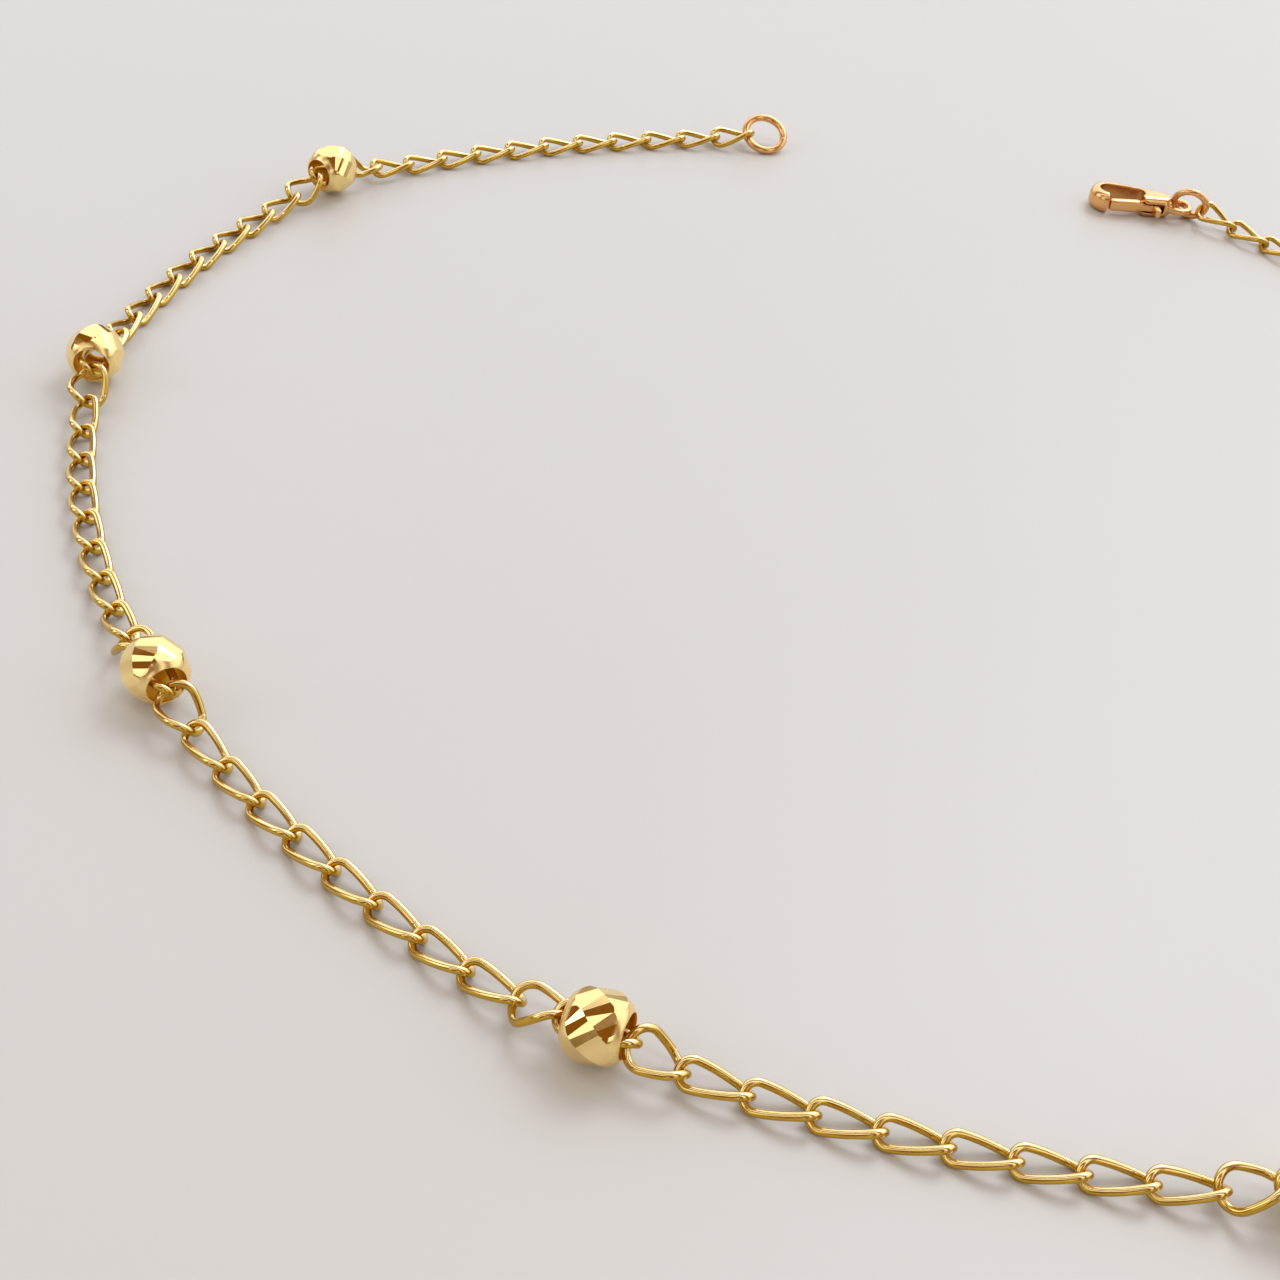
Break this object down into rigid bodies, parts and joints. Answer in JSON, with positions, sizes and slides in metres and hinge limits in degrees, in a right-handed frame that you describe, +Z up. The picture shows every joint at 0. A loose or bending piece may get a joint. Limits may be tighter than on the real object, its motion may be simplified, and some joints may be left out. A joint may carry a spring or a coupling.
{
  "type": "anklet",
  "caption": "Fine gold anklet lying open: twisted oval-link chain with faceted round beads at even stations, a plain ring at one end and a lobster clasp at the other.",
  "frame": {"origin": "centre of the object's outline on the surface that it lies on", "axes": "+Z up; +X runs along the wider way of the loop, from the end ring's side to the clasp's side; -Y is the near side of the picture, and the opening between ring and clasp is at +Y"},
  "size_m": [0.0956, 0.088, 0.003],
  "materials": {
    "chain_gold": "polished yellow gold wire",
    "bead_gold": "bright-cut yellow gold facets",
    "clasp_gold": "polished gold with a rosier tint"
  },
  "bodies": {
    "anklet": {"chain_stretch_1": "chain_gold", "chain_stretch_2": "chain_gold", "chain_stretch_3": "chain_gold", "chain_stretch_4": "chain_gold", "chain_stretch_5": "chain_gold", "chain_stretch_6": "chain_gold", "chain_stretch_7": "chain_gold", "chain_stretch_8": "chain_gold", "chain_stretch_9": "chain_gold", "bead_1": "bead_gold", "bead_2": "bead_gold", "bead_3": "bead_gold", "bead_4": "bead_gold", "bead_5": "bead_gold", "bead_6": "bead_gold", "bead_7": "bead_gold", "bead_8": "bead_gold", "bead_link_1": "chain_gold", "bead_link_2": "chain_gold", "bead_link_3": "chain_gold", "bead_link_4": "chain_gold", "bead_link_5": "chain_gold", "bead_link_6": "chain_gold", "bead_link_7": "chain_gold", "bead_link_8": "chain_gold", "end_ring": "clasp_gold", "clasp_ring": "clasp_gold", "clasp_body": "clasp_gold"},
    "lever": {"clasp_lever": "clasp_gold"}
  },
  "joints": [
    {"name": "clasp_lever_pivot", "type": "hinge", "parent": "anklet", "child": "lever", "pos_m": [0.01492, 0.04082, 0.0007], "axis": [0, 0, -1], "range_deg": [0, 25], "stiffness_Nm_per_rad": 0.0005}
  ]
}
